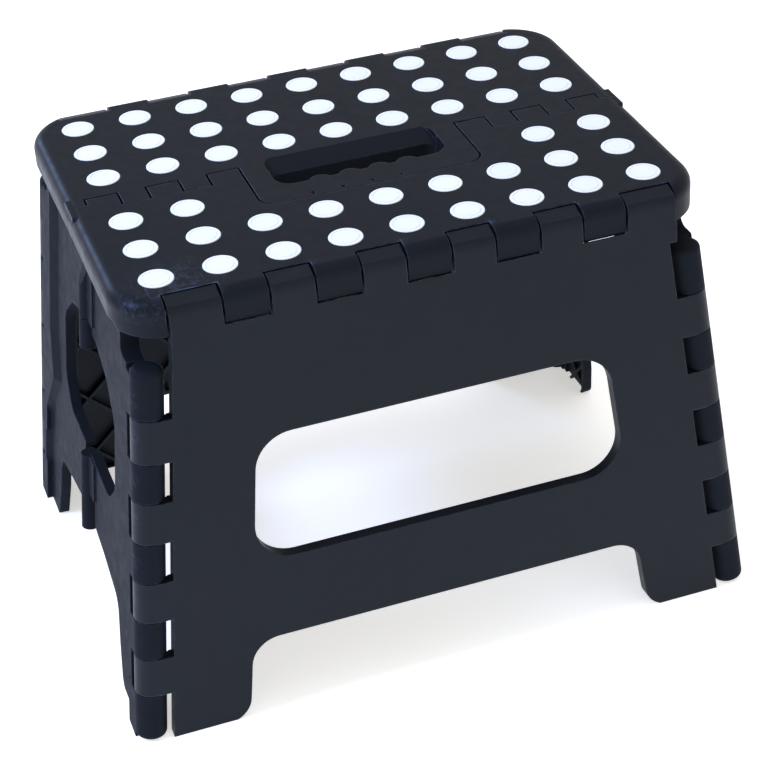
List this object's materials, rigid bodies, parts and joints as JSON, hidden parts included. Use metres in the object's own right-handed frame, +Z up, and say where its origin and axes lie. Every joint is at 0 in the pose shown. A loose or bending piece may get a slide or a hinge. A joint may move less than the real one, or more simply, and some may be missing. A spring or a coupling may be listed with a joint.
{
  "type": "folding step stool",
  "caption": "Low folding plastic step stool with a split hinged top, grip dots, a carrying slot, leaning panels and ends that fold inward.",
  "frame": {"origin": "on the floor under the middle of the open stool", "axes": "+X along the stool's length to the right, +Y from front to back, +Z up"},
  "size_m": [0.3236, 0.2368, 0.2289],
  "materials": {
    "top_plastic": "fine satin grain, lightly scuffed",
    "frame_plastic": "fine satin grain",
    "dot_rubber": "matt, soft",
    "pin_steel": "drawn wire"
  },
  "bodies": {
    "back_panel": {"back_panel": "frame_plastic", "back_top_pin": "pin_steel", "back_left_corner_pin": "pin_steel", "back_right_corner_pin": "pin_steel"},
    "top_back_half": {"top_back_half": "top_plastic", "grip_dots_back": "dot_rubber", "top_centre_pin_left": "pin_steel", "top_centre_pin_right": "pin_steel"},
    "top_front_half": {"top_front_half": "top_plastic", "grip_dots_front": "dot_rubber"},
    "front_panel": {"front_panel": "frame_plastic", "front_top_pin": "pin_steel", "front_left_corner_pin": "pin_steel", "front_right_corner_pin": "pin_steel"},
    "left_front_leaf": {"left_front_leaf": "frame_plastic", "left_upper_end_pin": "pin_steel", "left_lower_end_pin": "pin_steel"},
    "left_back_leaf": {"left_back_leaf": "frame_plastic"},
    "right_front_leaf": {"right_front_leaf": "frame_plastic"},
    "right_back_leaf": {"right_back_leaf": "frame_plastic", "right_upper_end_pin": "pin_steel", "right_lower_end_pin": "pin_steel"}
  },
  "joints": [
    {"name": "top_fold", "type": "hinge", "parent": "back_panel", "child": "top_back_half", "pos_m": [0, 0.09582, 0.2206], "axis": [-1, 0, 0], "range_deg": [0, 83]},
    {"name": "top_centre_fold", "type": "hinge", "parent": "top_back_half", "child": "top_front_half", "pos_m": [0, 0, 0.2159], "axis": [1, 0, 0], "range_deg": [0, 173.4]},
    {"name": "front_edge_fold", "type": "hinge", "parent": "top_front_half", "child": "front_panel", "pos_m": [0, -0.09582, 0.2206], "axis": [-1, 0, 0], "range_deg": [0, 83.1]},
    {"name": "left_front_leaf_fold", "type": "hinge", "parent": "front_panel", "child": "left_front_leaf", "pos_m": [-0.12584, -0.09528, 0.2286], "axis": [-0.1221, -0.0668, -0.9903], "range_deg": [0, 87.2]},
    {"name": "right_front_leaf_fold", "type": "hinge", "parent": "front_panel", "child": "right_front_leaf", "pos_m": [0.12584, -0.09528, 0.2286], "axis": [-0.1221, 0.0668, 0.9903], "range_deg": [0, 87.2]},
    {"name": "left_back_leaf_fold", "type": "hinge", "parent": "back_panel", "child": "left_back_leaf", "pos_m": [-0.12584, 0.09528, 0.2286], "axis": [0.1221, -0.0668, 0.9903], "range_deg": [0, 87.2]},
    {"name": "right_back_leaf_fold", "type": "hinge", "parent": "back_panel", "child": "right_back_leaf", "pos_m": [0.12584, 0.09528, 0.2286], "axis": [0.1221, 0.0668, -0.9903], "range_deg": [0, 87.2]}
  ],
  "couplings": [
    {"joint": "top_centre_fold", "follows": "top_fold", "ratio": 2.0876},
    {"joint": "front_edge_fold", "follows": "top_fold", "ratio": 1},
    {"joint": "left_front_leaf_fold", "follows": "top_fold", "ratio": 1.0492},
    {"joint": "right_front_leaf_fold", "follows": "top_fold", "ratio": 1.0492},
    {"joint": "left_back_leaf_fold", "follows": "top_fold", "ratio": 1.0492},
    {"joint": "right_back_leaf_fold", "follows": "top_fold", "ratio": 1.0492}
  ]
}
